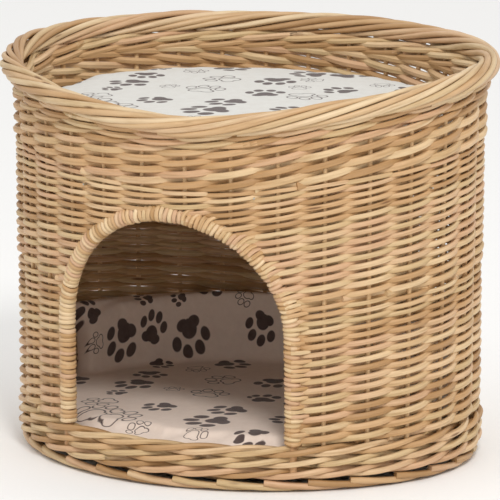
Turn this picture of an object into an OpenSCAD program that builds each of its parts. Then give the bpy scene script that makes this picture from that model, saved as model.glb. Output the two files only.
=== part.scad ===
// Two-storey willow pet bed: an oval woven body with an arched doorway, a woven floor,
// a woven deck near the top and a cushion on each. Millimetres, +Z up, +X along the
// longer axis, doorway towards -Y. The origin is on the floor, under the middle.

/* [Body] */
// Length of the woven wall at its top, outside
body_l = 500; // [450:5:600]
// Depth of the woven wall at its top, outside
body_w = 430; // [360:5:470]
// Height to the top of the border, measured at the two ends
body_h = 414; // [390:2:500]
// How much further out the wall is at its top than at the floor, on each side
wall_flare = 6; // [0:1:14]
// Thickness of the woven wall
wall_t = 13; // [11:0.5:16]
// How much higher the border is at the back than at the front
rim_rise = 26; // [0:2:40]

/* [Weave] */
// Diameter of the upright stakes that the wall is woven on
stake_d = 5; // [4:0.25:6]
// Number of stakes round the wall, an even number
stake_count = 30; // [26:2:34]
// Space between a stake and the weave that holds it
stake_gap = 0.2; // [0.1:0.05:0.4]
// Top of the lower band of weaving
lower_band_top = 196; // [150:2:240]
// Top of the middle band of weaving
middle_band_top = 318; // [300:2:340]
// Diameter of one row of the thick bottom wale
bottom_wale_d = 12; // [10:0.5:14]
// Rows in the bottom wale
bottom_wale_rows = 3; // [2:1:4]
// Diameter of one row of the wale under the border
rim_wale_d = 8; // [6:0.5:10]
// Rows in the wale under the border
rim_wale_rows = 2; // [1:1:3]
// Diameter of the rolled top border
border_d = 24; // [18:1:28]
// How far the border's middle lies outside the wall's outer face
border_out = 2; // [0:0.5:5]
// Height of the border that the bed stands on
foot_h = 14; // [10:1:18]
// Width of the border that the bed stands on
foot_w = 16; // [12:1:20]
// How far the foot is set in from the wall's outer face
foot_inset = 3; // [0:0.5:8]

/* [Doorway] */
// Width of the doorway inside its binding
door_w = 232; // [194:2:240]
// Height of the doorway from the sill to the top of the arch
door_h = 224; // [205:1:226]
// Diameter of the doorway's bound edge
binding_d = 18; // [14:0.5:20]
// Diameter of the rod inside the bound edge
hoop_d = 9; // [6:0.5:10]

/* [Floors] */
// Height of the underside of the deck
deck_z = 306; // [294:1:310]
// Thickness of the woven floor and of the woven deck
mat_t = 12; // [11:0.5:14]
// Diameter of the short sticks that run across a floor
short_stick_d = 9; // [8:0.25:9.5]
// Diameter of the long sticks that pass through the short ones
long_stick_d = 5.5; // [4:0.25:6]
// Number of short sticks in a floor
short_stick_count = 9; // [5:2:11]
// Distance between the short sticks
short_stick_step = 48; // [40:1:54]
// Number of long sticks in a floor
long_stick_count = 4; // [2:2:6]
// Distance between the long sticks
long_stick_step = 36; // [24:2:44]
// Diameter of the hoop that carries the deck
deck_hoop_d = 9; // [7:0.5:12]
// Number of nails that hold the deck's hoop
nail_count = 8; // [6:2:12]
// Diameter of a nail
nail_d = 1.8; // [1.2:0.2:2.4]

/* [Cushions] */
// Thickness of the upper cushion
upper_cushion_t = 48; // [30:1:50]
// Thickness of the lower cushion
lower_cushion_t = 26; // [18:1:26]
// How high the lower cushion's turned-up back edge stands above the woven floor
back_edge_h = 108; // [60:2:160]
// Thickness of the turned-up back edge
back_edge_t = 22; // [16:1:30]
// How far forward the turned-up edge reaches, as a distance behind the middle
back_edge_from = 30; // [10:5:90]
// Thickness of a cushion's cover
cover_t = 2; // [1:0.5:3]
// Space between a cushion and the wall beside it
cushion_gap = 4; // [2:0.5:8]

/* [Hidden] */
$fn = 64;

fit_gap = 0.2;          // space between two pieces of the basket that fit together
rest_gap = 0.4;         // space under the cushion that lifts out
cut = 1;                // how far a cutting shape runs past what it cuts
arc_lap = 4;            // how far an arc runs past a middle plane, in degrees
plate_ring_w = 60;      // width of the ring that forms a plate's outer part
oval_steps = 72;        // points round an oval's middle part
rod_sides = 12;         // sides of a rod that is bent round the oval
willow = "burlywood";
willow_dark = "tan";
linen = "antiquewhite";

// The wall's outer line is a four-centred oval, drawn round a 3-4-5 triangle: two side
// arcs and two end arcs, each running smoothly into the next. A line parallel to it keeps
// the same four centres, so every ring uses these values.
centre_unit = (body_l - body_w) / 4;
end_cx = 4 * centre_unit;
side_cy = 3 * centre_unit;
end_r = body_l / 2 - end_cx;
side_r = end_r + 5 * centre_unit;
side_half = atan2(4, 3);
end_half = 90 - side_half;

border_z = body_h - border_d / 2;                   // middle of the border, at the ends
rim_tilt = atan2(rim_rise, body_w);                 // the border's slope, front to back
rim_wale_h = rim_wale_rows * rim_wale_d;
wall_lean = atan2(wall_flare, border_z);
wale_step = bottom_wale_d - 1;                      // rows bed a little into each other
sill_z = foot_h + (bottom_wale_rows - 1) * wale_step + bottom_wale_d;
door_r = door_w / 2;
hoop_r = door_r + binding_d / 2;                    // the bound edge's middle line
spring_z = sill_z + door_h - door_r;                // where the door's arch begins
base_z = foot_h / 2;
floor_z = base_z + mat_t;                           // top of the woven floor
deck_top = deck_z + mat_t;
deck_hoop_z = deck_z - deck_hoop_d / 2;

// Distance of the wall's outer face from the outer line at a height (negative is inwards)
function face_at(z) = -wall_flare * (1 - z / border_z);
function inner_at(z) = face_at(z) - wall_t;
function mid_at(z) = face_at(z) - wall_t / 2;

// Half the depth of the oval at x, and half its length at y, for a line set off by edge
function half_depth(x, edge) =
    abs(x) <= (side_r + edge) * sin(side_half) ? sqrt((side_r + edge) ^ 2 - x ^ 2) - side_cy
    : sqrt((end_r + edge) ^ 2 - (abs(x) - end_cx) ^ 2);
function half_length(y, edge) = end_cx + sqrt((end_r + edge) ^ 2 - y ^ 2);

// The arcs in order from the middle of the front towards +X:
// [centre x, centre y, first angle, radius, angle covered]
arcs = [
    [0, side_cy, 270, side_r, side_half],
    [end_cx, 0, -end_half, end_r, 2 * end_half],
    [0, -side_cy, 90 - side_half, side_r, 2 * side_half],
    [-end_cx, 0, 180 - end_half, end_r, 2 * end_half],
    [0, side_cy, 270 - side_half, side_r, side_half]];

// A place at a share u of the way round the middle of the wall: [centre x, centre y,
// angle, radius]
function mid_len(arc) = (arc[3] - wall_t / 2) * arc[4] * PI / 180;
function place_on(s, i) =
    let (arc = arcs[i])
    s <= mid_len(arc) || i == len(arcs) - 1
        ? [arc[0], arc[1], arc[2] + s / (arc[3] - wall_t / 2) * 180 / PI, arc[3]]
        : place_on(s - mid_len(arc), i + 1);
round_len = [for (arc = arcs) mid_len(arc)] * [for (arc = arcs) 1];
function place(u) = place_on(u * round_len, 0);
function place_y(p, off) = p[1] + (p[3] + off) * sin(p[2]);
function place_x(p, off) = p[0] + (p[3] + off) * cos(p[2]);

// Stakes stand in the middle of each share of the wall. Those nearest the front's middle
// are cut by the doorway.
stakes = [for (i = [0:stake_count - 1]) place((i + 0.5) / stake_count)];
function at_door(p) = place_y(p, 0) < 0
    && abs(place_x(p, mid_at(sill_z))) < hoop_r + (binding_d + stake_d) / 2 + 1;
function clear_of_leg(p) =
    abs(place_x(p, mid_at(sill_z))) < hoop_r - (hoop_d + stake_d) / 2 - 1;
// Height of the bound edge's upper face above the sill, over a stake in the doorway
function arch_z(p) =
    spring_z + sqrt(max(0, (hoop_r + binding_d / 2 + fit_gap) ^ 2
                           - place_x(p, mid_at(spring_z)) ^ 2));
function stake_top(p) =
    border_z + place_y(p, -wall_t / 2) * tan(rim_tilt) - border_d / 2 - stake_d;

// ---- shapes that several pieces share ----

// A quarter of a ring, at the front left. Both arcs start where they meet, run a little
// past the middle planes and are cut off there, so that the quarters meet face to face.
module ring_quarter() {
    far = 2 * body_l;
    intersection() {
        union() {
            translate([0, side_cy, 0]) rotate([0, 0, 270 - side_half])
                rotate_extrude(angle = side_half + arc_lap)
                    translate([side_r, 0]) children();
            translate([-end_cx, 0, 0]) mirror([0, 1, 0]) rotate([0, 0, 180 - end_half])
                rotate_extrude(angle = end_half + arc_lap)
                    translate([end_r, 0]) children();
        }
        translate([-far, -far, -far]) cube([far, far, 2 * far]);
    }
}

// Carries a section round the oval. The section's x is the distance from the outer line.
module oval_ring() {
    for (across = [0, 1], back = [0, 1])
        mirror([across, 0, 0]) mirror([0, back, 0]) ring_quarter() children();
}

// Points round a line that is off away from the outer line
function oval_points(off) = [for (i = [0:oval_steps - 1]) let (p = place(i / oval_steps))
    [place_x(p, off), place_y(p, off)]];

// Section of a plate's outer part, with a rounded rim at x = 0
module plate_section(t, round_r) {
    steps = 6;
    polygon(concat([[-plate_ring_w, 0]],
        [for (i = [0:steps]) [-round_r + round_r * sin(90 * i / steps),
                              round_r - round_r * cos(90 * i / steps)]],
        [for (i = [0:steps]) [-round_r + round_r * cos(90 * i / steps),
                              t - round_r + round_r * sin(90 * i / steps)]],
        [[-plate_ring_w, t]]));
}

// A solid oval plate whose rim is edge away from the outer line: a ring and its middle
module oval_plate(edge, z, t, round_r) {
    union() {
        oval_ring() translate([edge, z]) plate_section(t, round_r);
        translate([0, 0, z]) linear_extrude(height = t)
            polygon(oval_points(edge - plate_ring_w / 2));
    }
}

// Section of the leaning wall between two heights
module wall_section(z0, z1) {
    polygon([[inner_at(z0), z0], [face_at(z0), z0], [face_at(z1), z1], [inner_at(z1), z1]]);
}

// Section of stacked round rows that bed into each other, standing on y = 0
module rows_section(rows, d, step, w) {
    bend = [-40, -20, 0, 20, 40];
    side = [for (i = [0:rows - 1], a = bend)
        [w / 2 - d / 2 * (1 - cos(a)), d / 2 + i * step + d / 2 * sin(a)]];
    foot = w / 2 - d / 3;
    top = d + (rows - 1) * step;
    polygon(concat([[-foot, 0], [foot, 0]], side, [[foot, top], [-foot, top]],
                   [for (i = [len(side) - 1:-1:0]) [-side[i][0], side[i][1]]]));
}

// The border's own plane, which slopes down to the front
module rim_frame() {
    translate([0, 0, border_z]) rotate([rim_tilt, 0, 0]) children();
}

// A round bar that stands in the wall, leaning as the wall does
module upright(p, d, z0, z1) {
    translate([p[0], p[1], 0]) rotate([0, 0, p[2]])
        translate([p[3] + mid_at(0), 0, 0]) rotate([0, wall_lean, 0])
            translate([0, 0, z0]) cylinder(h = z1 - z0, d = d, $fn = 24);
}

module stake_holes(z0, z1) {
    for (p = stakes) upright(p, stake_d + 2 * stake_gap, z0 - cut, z1 + cut);
}

// The doorway as it is cut through the wall, r from the arch's middle
module door_cut(r) {
    rotate([90, 0, 0]) linear_extrude(height = body_w) {
        translate([0, spring_z]) circle(r = r);
        translate([-r, sill_z - cut]) square([2 * r, spring_z - sill_z + cut]);
    }
}

// Points along the bound edge, following the curved wall, from its left foot to its right
arch_steps = 24;
leg_steps = 5;
function wall_point(x, z) = [x, -half_depth(x, mid_at(z)), z];
function leg_points(side) = [for (i = [1:leg_steps - 1])
    wall_point(side * hoop_r, sill_z + (spring_z - sill_z) * i / leg_steps)];
function reversed(list) = [for (i = [len(list) - 1:-1:0]) list[i]];
function foot_points(side, foot_z) = let (foot = wall_point(side * hoop_r, sill_z))
    foot_z < sill_z ? [[foot[0], foot[1], foot_z], foot] : [[foot[0], foot[1], foot_z]];
function hoop_path(foot_z) = concat(
    foot_points(-1, foot_z), leg_points(-1),
    [for (i = [0:arch_steps]) let (a = 180 - 180 * i / arch_steps)
        wall_point(hoop_r * cos(a), spring_z + hoop_r * sin(a))],
    reversed(leg_points(1)), reversed(foot_points(1, foot_z)));

// A round tube swept along a path that stays near the X-Z plane, solid when bore is 0
tube_sides = 12;
function unit(v) = v / norm(v);
function along(path, i) =
    unit(path[min(i + 1, len(path) - 1)] - path[max(i - 1, 0)]);
function tube_points(path, d) = [for (i = [0:len(path) - 1])
    let (t = along(path, i), u = unit(cross(t, [0, 1, 0])), v = cross(u, t))
        for (k = [0:tube_sides - 1]) path[i] + d / 2 * (cos(360 * k / tube_sides) * u
                                                    + sin(360 * k / tube_sides) * v)];
module tube(path, d, bore = 0) {
    rings = len(path);
    ring = tube_sides;
    inside = rings * ring;          // where the bore's points begin
    outer_faces = [for (i = [0:rings - 2], k = [0:ring - 1]) let (m = (k + 1) % ring)
        [i * ring + k, i * ring + m, (i + 1) * ring + m, (i + 1) * ring + k]];
    bore_faces = [for (i = [0:rings - 2], k = [0:ring - 1]) let (m = (k + 1) % ring)
        [inside + i * ring + m, inside + i * ring + k,
         inside + (i + 1) * ring + k, inside + (i + 1) * ring + m]];
    first = [for (k = [0:ring - 1]) let (m = (k + 1) % ring)
        [m, k, inside + k, inside + m]];
    last = [for (k = [0:ring - 1]) let (m = (k + 1) % ring, e = inside - ring)
        [e + k, e + m, inside + e + m, inside + e + k]];
    if (bore > 0)
        polyhedron(concat(tube_points(path, d), tube_points(path, bore)),
                   concat(outer_faces, bore_faces, first, last));
    else
        polyhedron(tube_points(path, d),
                   concat(outer_faces, [[for (k = [ring - 1:-1:0]) k]],
                          [[for (k = [0:ring - 1]) inside - ring + k]]));
}

// ---- a woven mat: the floor and the deck are made alike ----

function centred(i, count, step) = (i - (count - 1) / 2) * step;

module mat_sticks_long(z, edge, d) {
    for (i = [0:long_stick_count - 1]) {
        y = centred(i, long_stick_count, long_stick_step);
        x = half_length(y, edge);
        translate([-x, y, z]) rotate([0, 90, 0]) cylinder(h = 2 * x, d = d, $fn = 24);
    }
}

module mat_sticks_short(z, edge, d) {
    for (i = [0:short_stick_count - 1]) {
        x = centred(i, short_stick_count, short_stick_step);
        y = half_depth(abs(x) + short_stick_d / 2, edge);
        translate([x, y, z]) rotate([90, 0, 0]) cylinder(h = 2 * y, d = d, $fn = 24);
    }
}

// Short sticks are split and the long ones pushed through the splits
module mat_short_pierced(z, edge) {
    difference() {
        mat_sticks_short(z, edge, short_stick_d);
        mat_sticks_long(z, edge, long_stick_d + 2 * fit_gap);
    }
}

module mat_weave(z, edge) {
    difference() {
        oval_plate(edge, z, mat_t, mat_t / 4);
        mat_sticks_short(z + mat_t / 2, edge + cut, short_stick_d + 2 * fit_gap);
        mat_sticks_long(z + mat_t / 2, edge + cut, long_stick_d + 2 * fit_gap);
    }
}

base_edge = -foot_inset - wall_flare - foot_w - fit_gap;
deck_edge = inner_at(deck_z) - 1.5;
stick_end = 2;                                    // how far a stick stops inside the edge

// ---- base ----

module foot_border() {
    color(willow_dark) oval_ring() translate([-wall_flare - foot_inset, 0]) polygon([
        [-foot_w + 2, 0], [-3, 0], [0, 4], [0, foot_h - 3], [-3, foot_h],
        [-foot_w + 2, foot_h], [-foot_w, foot_h - 2], [-foot_w, 2]]);
}

module base_sticks_long() {
    color(willow_dark) mat_sticks_long(base_z + mat_t / 2, base_edge - stick_end, long_stick_d);
}

module base_sticks_short() {
    color(willow_dark) mat_short_pierced(base_z + mat_t / 2, base_edge - stick_end);
}

module base_weave() {
    color(willow) mat_weave(base_z, base_edge);
}

// ---- wall ----

module bottom_wale() {
    color(willow) difference() {
        oval_ring() translate([mid_at(sill_z / 2), foot_h])
            rows_section(bottom_wale_rows, bottom_wale_d, wale_step, wall_t + 2);
        stake_holes(foot_h, sill_z);
        for (side = [-1, 1]) {
            leg = wall_point(side * hoop_r, sill_z);
            translate([leg[0], leg[1], foot_h + 2])
                cylinder(h = sill_z, d = hoop_d + 2 * fit_gap, $fn = 24);
        }
    }
}

module wall_stakes() {
    color(willow_dark) for (p = stakes) if (!at_door(p))
        upright(p, stake_d, foot_h, stake_top(p));
}

module arch_stakes() {
    color(willow_dark) for (p = stakes) if (at_door(p))
        upright(p, stake_d, arch_z(p) + stake_d / 2, stake_top(p));
}

module sill_stakes() {
    color(willow_dark) for (p = stakes) if (at_door(p) && clear_of_leg(p))
        upright(p, stake_d, foot_h, sill_z - 2);
}

module woven_band(z0, z1) {
    difference() {
        oval_ring() wall_section(z0, z1);
        stake_holes(z0, z1);
        door_cut(hoop_r + binding_d / 2 + fit_gap);
    }
}

module weave_band_lower() {
    color(willow) woven_band(sill_z, lower_band_top);
}

module weave_band_middle() {
    color(willow) difference() {
        woven_band(lower_band_top, middle_band_top);
        nails(nail_d + 2 * fit_gap);
    }
}

module weave_band_upper() {
    color(willow) difference() {
        oval_ring() wall_section(middle_band_top, border_z + rim_rise);
        stake_holes(middle_band_top, border_z + rim_rise);
        rim_frame() translate([-body_l, -body_w, -border_d / 2 - rim_wale_h])
            cube([2 * body_l, 2 * body_w, body_h]);
    }
}

module rim_wale() {
    color(willow) difference() {
        rim_frame() oval_ring() translate([-wall_t / 2, -border_d / 2 - rim_wale_h])
            rows_section(rim_wale_rows, rim_wale_d, rim_wale_d, wall_t + 2);
        for (p = stakes)
            upright(p, stake_d + 2 * stake_gap, middle_band_top, stake_top(p) + fit_gap);
    }
}

module top_border() {
    color(willow) rim_frame() oval_ring() translate([border_out, 0])
        circle(d = border_d, $fn = rod_sides);
}

// ---- doorway ----

module door_hoop() {
    color(willow_dark) tube(hoop_path(foot_h + 3), hoop_d);
}

module door_binding() {
    color(willow) tube(hoop_path(sill_z + fit_gap), binding_d, hoop_d + 2 * fit_gap);
}

// ---- deck ----

module deck_hoop() {
    color(willow_dark) difference() {
        oval_ring() translate([inner_at(deck_hoop_z) - deck_hoop_d / 2 - fit_gap, deck_hoop_z])
            circle(d = deck_hoop_d, $fn = rod_sides);
        nails(nail_d);
    }
}

// Nails run inwards through the wall, between stakes, and into the hoop
module nails(d) {
    for (i = [0:nail_count - 1]) {
        bay = round((i + 0.5) * stake_count / nail_count);
        p = place(bay / stake_count);
        translate([p[0], p[1], deck_hoop_z]) rotate([0, 0, p[2]])
            translate([p[3] + inner_at(deck_hoop_z) - deck_hoop_d * 0.75, 0, 0])
                rotate([0, 90, 0]) cylinder(h = wall_t + deck_hoop_d * 0.75, d = d, $fn = 16);
    }
}

module deck_nails() {
    color("silver") nails(nail_d);
}

module deck_sticks_long() {
    color(willow_dark) mat_sticks_long(deck_z + mat_t / 2, deck_edge - stick_end, long_stick_d);
}

module deck_sticks_short() {
    color(willow_dark) mat_short_pierced(deck_z + mat_t / 2, deck_edge - stick_end);
}

module deck_weave() {
    color(willow) mat_weave(deck_z, deck_edge);
}

// ---- cushions ----

// The upper cushion, made smaller by skin on every side
module upper_pad(skin) {
    edge = inner_at(deck_top) - cushion_gap;
    t = upper_cushion_t - 2 * skin;
    oval_plate(edge - skin, deck_top + rest_gap + skin, t, t * 0.45);
}

// The lower cushion lies on the floor, and its back edge turns up against the wall
module lower_pad(skin) {
    edge = inner_at(floor_z) - cushion_gap;
    t = lower_cushion_t - 2 * skin;
    z = floor_z + fit_gap + skin;
    union() {
        oval_plate(edge - skin, z, t, t * 0.4);
        intersection() {
            oval_ring() translate([edge - back_edge_t + skin, z]) polygon([
                [0, t / 2], [back_edge_t - 2 * skin, t / 2],
                [back_edge_t - 2 * skin, back_edge_h - 2 * skin - 4],
                [back_edge_t - 2 * skin - 4, back_edge_h - 2 * skin],
                [4, back_edge_h - 2 * skin], [0, back_edge_h - 2 * skin - 4]]);
            translate([-body_l, back_edge_from + skin, 0]) cube([2 * body_l, body_w, body_h]);
        }
    }
}

module upper_cushion_cover() {
    color(linen) difference() {
        upper_pad(0);
        upper_pad(cover_t);
    }
}

module upper_cushion_filling() {
    color("white") upper_pad(cover_t + fit_gap);
}

module lower_cushion_cover() {
    color(linen) difference() {
        lower_pad(0);
        lower_pad(cover_t);
    }
}

module lower_cushion_filling() {
    color("white") lower_pad(cover_t + fit_gap);
}

foot_border();
base_sticks_long();
base_sticks_short();
base_weave();
bottom_wale();
wall_stakes();
arch_stakes();
sill_stakes();
weave_band_lower();
weave_band_middle();
weave_band_upper();
rim_wale();
top_border();
door_hoop();
door_binding();
deck_hoop();
deck_nails();
deck_sticks_long();
deck_sticks_short();
deck_weave();
upper_cushion_cover();
upper_cushion_filling();
lower_cushion_cover();
lower_cushion_filling();
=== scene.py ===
"""Looks of a two-storey willow pet bed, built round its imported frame.

Every rod is laid where a basket maker lays it: bands of randing, three-rod wales, a rolled border
and a foot border, a wrapped doorway, a woven floor and deck, and two stuffed cushions of printed
linen. Sizes are in millimetres, and meshes are made in metres.
"""

import sys
import logging
import math
from dataclasses import dataclass, field
from enum import Enum

import bpy
import numpy as np
from bpy.types import Material, Node, NodeSocket, NodeTree, Object
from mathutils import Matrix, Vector, noise


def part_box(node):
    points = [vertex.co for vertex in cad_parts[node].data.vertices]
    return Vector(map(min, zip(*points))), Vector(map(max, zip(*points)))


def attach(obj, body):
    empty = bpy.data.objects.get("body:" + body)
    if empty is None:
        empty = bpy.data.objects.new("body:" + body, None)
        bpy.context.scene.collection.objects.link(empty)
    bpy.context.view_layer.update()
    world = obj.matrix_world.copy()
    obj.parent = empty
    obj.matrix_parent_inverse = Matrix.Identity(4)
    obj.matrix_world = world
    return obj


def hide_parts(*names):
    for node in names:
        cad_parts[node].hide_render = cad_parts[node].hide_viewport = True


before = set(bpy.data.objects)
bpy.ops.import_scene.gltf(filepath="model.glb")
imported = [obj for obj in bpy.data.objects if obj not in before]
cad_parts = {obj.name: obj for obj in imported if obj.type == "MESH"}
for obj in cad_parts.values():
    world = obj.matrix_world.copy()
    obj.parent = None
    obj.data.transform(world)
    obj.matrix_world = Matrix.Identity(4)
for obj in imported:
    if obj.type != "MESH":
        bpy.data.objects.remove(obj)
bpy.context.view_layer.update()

LOG = logging.getLogger("pet_bed")
MM = 0.001
SEED = 617
SMOOTH_ANGLE = math.radians(50)
ROD_END_IN = 1.5        # rods end this far inside the line of the door's hoop
SHORTEST_RUN = 2.5      # a rod's stretch with fewer steps than this is left out


class Body(Enum):
    """The bodies that pieces ride on."""

    BASKET = "basket"
    CUSHION = "upper_cushion"


class Slot(Enum):
    """The record's material slots."""

    WILLOW = "peeled_willow"
    BORDER = "border_willow"
    SKEIN = "willow_skein"
    LINEN = "printed_linen"


# ---- the wall's plan


@dataclass(frozen=True)
class WallPlan:
    """The wall's outline, a four-centred oval round a 3-4-5 triangle, and its heights."""

    length: float = 500.0
    depth: float = 430.0
    flare: float = 6.0
    thickness: float = 13.0
    border_z: float = 402.0
    border_radius: float = 12.0
    border_out: float = 2.0
    rim_rise: float = 26.0
    stake_count: int = 30
    stake_d: float = 5.0
    foot_h: float = 14.0
    sill_z: float = 48.0
    door_r: float = 116.0
    hoop_r: float = 125.0
    binding_r: float = 9.0
    spring_z: float = 156.0
    end_lift: float = 3.6
    front_dip: float = 13.0
    dip_x: float = 34.0
    dip_width: float = 132.0
    dip_from: float = 90.0

    @property
    def unit(self) -> float:
        """A fifth of the longest side of the triangle between the centres."""
        return (self.length - self.depth) / 4

    @property
    def end_r(self) -> float:
        """Radius of the two end arcs."""
        return self.length / 2 - 4 * self.unit

    @property
    def side_r(self) -> float:
        """Radius of the two side arcs."""
        return self.end_r + 5 * self.unit

    @property
    def arcs(self) -> np.ndarray:
        """Each arc's centre x and y, first angle, radius and angle covered, front middle first."""
        across, along = 4 * self.unit, 3 * self.unit
        side, end, turn = math.atan2(4, 3), math.atan2(3, 4), math.pi / 2
        return np.array([[0, along, 3 * turn, self.side_r, side],
                         [across, 0, -end, self.end_r, 2 * end],
                         [0, -along, turn - side, self.side_r, 2 * side],
                         [-across, 0, 2 * turn - end, self.end_r, 2 * end],
                         [0, along, 3 * turn - side, self.side_r, side]])

    @property
    def bay(self) -> float:
        """Distance between stakes along the middle of the wall."""
        arcs = self.arcs
        return float(((arcs[:, 3] - self.thickness / 2) * arcs[:, 4]).sum()) / self.stake_count

    def place(self, share: np.ndarray) -> tuple[np.ndarray, np.ndarray, np.ndarray, np.ndarray]:
        """Where a share of the way round the wall is.

        Args:
            share: shares of the way round, 0 at the front's middle and growing towards +X.

        Returns:
            Centre x, centre y, angle and radius of the arc at each share.
        """
        arcs = self.arcs
        lengths = (arcs[:, 3] - self.thickness / 2) * arcs[:, 4]
        ends = np.cumsum(lengths)
        s = np.mod(share, 1.0) * ends[-1]
        i = np.minimum(np.searchsorted(ends, s, side="right"), len(arcs) - 1)
        angle = arcs[i, 2] + (s - ends[i] + lengths[i]) / (arcs[i, 3] - self.thickness / 2)
        return arcs[i, 0], arcs[i, 1], angle, arcs[i, 3]

    def points(self, share: np.ndarray, off: np.ndarray, z: np.ndarray) -> np.ndarray:
        """Points round the wall.

        Args:
            share: shares of the way round.
            off: distance outwards from the outer line at the border.
            z: heights.

        Returns:
            One point a row.
        """
        cx, cy, angle, radius = self.place(np.asarray(share, float))
        r = radius + off
        return np.stack([cx + r * np.cos(angle), cy + r * np.sin(angle), z + 0 * angle], axis=-1)

    def mid_at(self, z: np.ndarray) -> np.ndarray:
        """Distance from the outer line to the middle of the leaning wall at a height."""
        return -self.flare * (1 - z / self.border_z) - self.thickness / 2

    def half_depth(self, x: float, edge: float) -> float:
        """Half the depth of the oval.

        Args:
            x: distance from the middle along the length.
            edge: how far the line is set off from the outer line.

        Returns:
            Half the depth there. A side arc spans four fifths of its radius each way.
        """
        if abs(x) <= 0.8 * (self.side_r + edge):
            return math.sqrt((self.side_r + edge) ** 2 - x * x) - 3 * self.unit
        return math.sqrt((self.end_r + edge) ** 2 - (abs(x) - 4 * self.unit) ** 2)

    def settle(self, points: np.ndarray) -> np.ndarray:
        """Lets the weaving rise to the back and sag as a hand-made wall does.

        Args:
            points: points of the level wall.

        Returns:
            The same points, each moved up or down by its share of the border's slope and sag.
        """
        moved = points.copy()
        share = np.clip((points[:, 2] - self.sill_z) / (self.border_z - self.sill_z), 0, 1.1)
        moved[:, 2] += share * (points[:, 1] * self.rim_rise / self.depth + self.sag(points))
        return moved

    def sag(self, points: np.ndarray) -> np.ndarray:
        """How far the border is above its even slope: low in front, high at the ends."""
        around = np.arctan2(points[:, 1] / self.depth, points[:, 0] / self.length)
        front = np.clip(-points[:, 1] / self.dip_from, 0, 1)
        dip = np.exp(-(((points[:, 0] - self.dip_x) / self.dip_width) ** 2)) * front
        return self.end_lift * np.cos(2 * around) - self.front_dip * dip

    def in_doorway(self, points: np.ndarray, radius: float) -> np.ndarray:
        """How far inside the doorway's outline each point is; negative is outside it.

        Args:
            points: points on the wall.
            radius: radius of the arch that counts as the outline.

        Returns:
            Depth inside the outline, or a large negative number on the back wall.
        """
        x, y, z = points.T
        arch = radius - np.hypot(x, np.maximum(z - self.spring_z, 0))
        inside = np.where(z > self.spring_z, arch, radius - np.abs(x))
        return np.where((y < 0) & (z > self.sill_z - 1), inside, -1e3)


PLAN = WallPlan()


# ---- finishes


def linear(hex_colour: str) -> tuple[float, float, float, float]:
    """The linear colour of an sRGB hex value such as "#E3C090"."""
    parts = [int(hex_colour[i:i + 2], 16) / 255 for i in (1, 3, 5)]
    return tuple([c / 12.92 if c <= 0.04045 else ((c + 0.055) / 1.055) ** 2.4
                  for c in parts] + [1.0])


def add_node(tree: NodeTree, kind: str, inputs: dict | None = None, **settings: object) -> Node:
    """Adds a node with its settings and links.

    Args:
        tree: the material's node tree.
        kind: the node's type name.
        inputs: socket name or number to a value or to another node's output.
        settings: properties of the node.

    Returns:
        The new node.
    """
    node = tree.nodes.new(kind)
    for name, value in settings.items():
        setattr(node, name, value)
    for name, value in (inputs or {}).items():
        if isinstance(value, NodeSocket):
            tree.links.new(value, node.inputs[name])
        else:
            node.inputs[name].default_value = value
    return node


def maths(tree: NodeTree, operation: str, *values: object, clamp: bool = False) -> NodeSocket:
    """A maths node's result, for numbers or other nodes' outputs."""
    return add_node(tree, "ShaderNodeMath", dict(enumerate(values)), operation=operation,
                    use_clamp=clamp).outputs[0]


def vectors(tree: NodeTree, operation: str, *values: object) -> NodeSocket:
    """A vector maths node's result, for vectors or other nodes' outputs."""
    return add_node(tree, "ShaderNodeVectorMath", dict(enumerate(values)),
                    operation=operation).outputs[0]


def noise_at(tree: NodeTree, where: NodeSocket, scale: float, detail: float,
             roughness: float = 0.5) -> NodeSocket:
    """A noise texture's value at a place."""
    return add_node(tree, "ShaderNodeTexNoise", {"Vector": where, "Scale": scale, "Detail": detail,
                                                 "Roughness": roughness}).outputs["Fac"]


def spread(tree: NodeTree, value: NodeSocket, start: float, end: float, low: float = 0.0,
           high: float = 1.0) -> NodeSocket:
    """A value taken from one range to another and held at its ends."""
    return add_node(tree, "ShaderNodeMapRange", {"Value": value, "From Min": start, "From Max": end,
                                                 "To Min": low, "To Max": high}).outputs[0]


def mixed(tree: NodeTree, factor: NodeSocket, under: object, over: str) -> NodeSocket:
    """A colour, with a hex colour laid over it by a factor."""
    return add_node(tree, "ShaderNodeMix", {"Factor": factor, "A": under, "B": linear(over)},
                    data_type="RGBA").outputs["Result"]


def add_bump(tree: NodeTree, shader: Node, height: NodeSocket, strength: float,
             depth_mm: float) -> None:
    """Raises the surface by a height."""
    bump = add_node(tree, "ShaderNodeBump",
                    {"Height": height, "Strength": strength, "Distance": depth_mm * MM})
    tree.links.new(bump.outputs[0], shader.inputs["Normal"])


def object_place(tree: NodeTree) -> NodeSocket:
    """The place on the object, in metres."""
    return add_node(tree, "ShaderNodeTexCoord").outputs["Object"]


def ramp(tree: NodeTree, factor: NodeSocket, stops: list[tuple[float, str]]) -> NodeSocket:
    """Adds a colour ramp.

    Args:
        tree: the material's node tree.
        factor: what drives the ramp.
        stops: position and hex colour of each stop.

    Returns:
        The ramp's colour output.
    """
    node = add_node(tree, "ShaderNodeValToRGB", {"Fac": factor})
    while len(node.color_ramp.elements) < len(stops):
        node.color_ramp.elements.new(0.5)
    for element, (position, colour) in zip(node.color_ramp.elements, stops):
        element.position = position
        element.color = linear(colour)
    return node.outputs["Color"]


def blank_material(name: str) -> tuple[Material, NodeTree, Node]:
    """Makes a material with nothing in it but its shader.

    Args:
        name: the material's name.

    Returns:
        The material, its tree and its Principled shader, already linked to the output.
    """
    material = bpy.data.materials.new(name)
    material.use_nodes = True
    tree = material.node_tree
    tree.nodes.clear()
    shader = add_node(tree, "ShaderNodeBsdfPrincipled")
    add_node(tree, "ShaderNodeOutputMaterial", {"Surface": shader.outputs["BSDF"]})
    return material, tree, shader


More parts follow.
